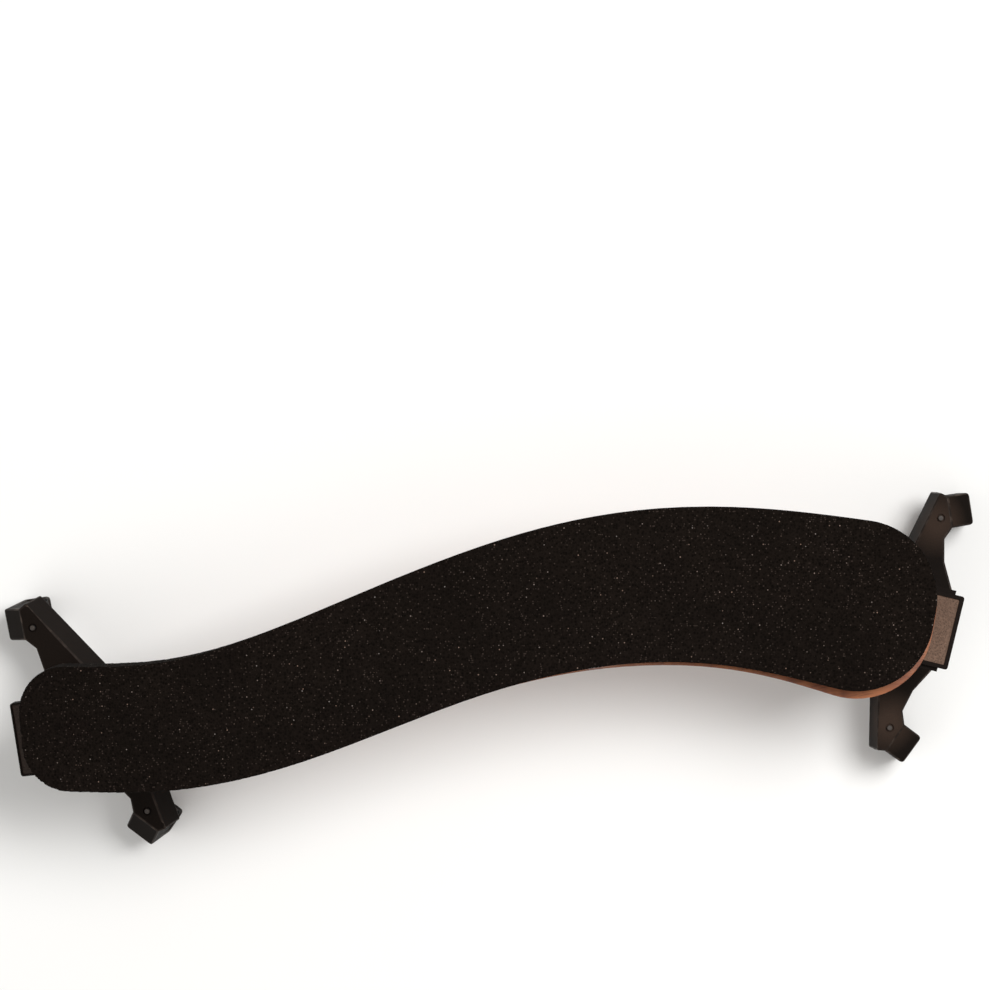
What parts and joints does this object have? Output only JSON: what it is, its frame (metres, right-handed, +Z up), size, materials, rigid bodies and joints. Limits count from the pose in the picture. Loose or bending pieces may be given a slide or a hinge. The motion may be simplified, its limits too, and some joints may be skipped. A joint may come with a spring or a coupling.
{
  "type": "violin shoulder rest",
  "caption": "S-shaped wooden violin shoulder rest with a foam pad and two folding, swivelling, height-adjustable forked feet.",
  "frame": {"origin": "centre of the plan bounding box, on the plane the claws stand on", "axes": "+X to the wide shoulder end, +Y to the violin's scroll, +Z up from the violin's back to the player's shoulder"},
  "size_m": [0.2204, 0.0805, 0.0572],
  "materials": {
    "maple": "orange-brown varnish",
    "foam": "open-cell sponge",
    "black_plastic": "satin moulded",
    "rubber": "matt",
    "steel": "plated",
    "brass": "turned"
  },
  "bodies": {
    "plate": {"base_plate": "maple", "foam_pad": "foam", "left_insert": "brass", "left_guide_pin": "steel", "left_washer": "steel", "right_insert": "brass", "right_guide_pin": "steel", "right_washer": "steel"},
    "left_bracket_body": {"left_bracket": "black_plastic", "left_hinge_pin": "steel"},
    "left_screw_body": {"left_thumb_screw": "steel"},
    "left_holder_body": {"left_holder": "black_plastic", "left_bush": "brass"},
    "left_nut_body": {"left_lock_nut": "brass"},
    "left_post_body": {"left_post": "steel"},
    "left_fork_body": {"left_fork": "black_plastic", "left_front_pad": "rubber", "left_rear_pad": "rubber"},
    "right_bracket_body": {"right_bracket": "black_plastic", "right_hinge_pin": "steel"},
    "right_screw_body": {"right_thumb_screw": "steel"},
    "right_holder_body": {"right_holder": "black_plastic", "right_bush": "brass"},
    "right_nut_body": {"right_lock_nut": "brass"},
    "right_post_body": {"right_post": "steel"},
    "right_fork_body": {"right_fork": "black_plastic", "right_front_pad": "rubber", "right_rear_pad": "rubber"}
  },
  "joints": [
    {"name": "left_width", "type": "slide", "parent": "plate", "child": "left_bracket_body", "axis": [-0.965, -0.1151, -0.2356], "range_m": [-0.002, 0.004]},
    {"name": "left_clamp", "type": "hinge", "parent": "plate", "child": "left_screw_body", "pos_m": [-0.07575, -0.01171, 0.04038], "axis": [0.2195, 0.1372, -0.9659], "range_deg": [0, 360]},
    {"name": "left_fold", "type": "hinge", "parent": "left_bracket_body", "child": "left_holder_body", "pos_m": [-0.08619, -0.01214, 0.03029], "axis": [0.1435, -0.9838, -0.1071], "range_deg": [0, 74]},
    {"name": "left_nut", "type": "hinge", "parent": "left_holder_body", "child": "left_nut_body", "pos_m": [-0.09408, -0.0139, 0.03591], "axis": [-0.2195, -0.1372, 0.9659], "range_deg": [0, 360]},
    {"name": "left_height", "type": "slide", "parent": "left_holder_body", "child": "left_post_body", "axis": [-0.2195, -0.1372, 0.9659], "range_m": [-0.003, 0.002]},
    {"name": "left_turn", "type": "hinge", "parent": "left_post_body", "child": "left_fork_body", "pos_m": [-0.0864, -0.0091, 0.0021], "axis": [-0.2195, -0.1372, 0.9659], "range_deg": [-1080, 720]},
    {"name": "right_width", "type": "slide", "parent": "plate", "child": "right_bracket_body", "axis": [0.9715, -0.2368, 0], "range_m": [-0.002, 0.004]},
    {"name": "right_clamp", "type": "hinge", "parent": "plate", "child": "right_screw_body", "pos_m": [0.07784, 0.0148, 0.038], "axis": [0, 0, -1], "range_deg": [0, 360]},
    {"name": "right_fold", "type": "hinge", "parent": "right_bracket_body", "child": "right_holder_body", "pos_m": [0.08998, 0.01184, 0.0306], "axis": [0.2368, 0.9715, 0], "range_deg": [0, 86]},
    {"name": "right_nut", "type": "hinge", "parent": "right_holder_body", "child": "right_nut_body", "pos_m": [0.0963, 0.0103, 0.038], "axis": [0, 0, 1], "range_deg": [0, 360]},
    {"name": "right_height", "type": "slide", "parent": "right_holder_body", "child": "right_post_body", "axis": [0, 0, 1], "range_m": [-0.003, 0.002]},
    {"name": "right_turn", "type": "hinge", "parent": "right_post_body", "child": "right_fork_body", "pos_m": [0.0963, 0.0103, 0], "axis": [0, 0, 1], "range_deg": [-1080, 720]}
  ],
  "couplings": [
    {"joint": "left_turn", "follows": "left_height", "rad_per_m": 6283.2},
    {"joint": "right_turn", "follows": "right_height", "rad_per_m": 6283.2}
  ]
}
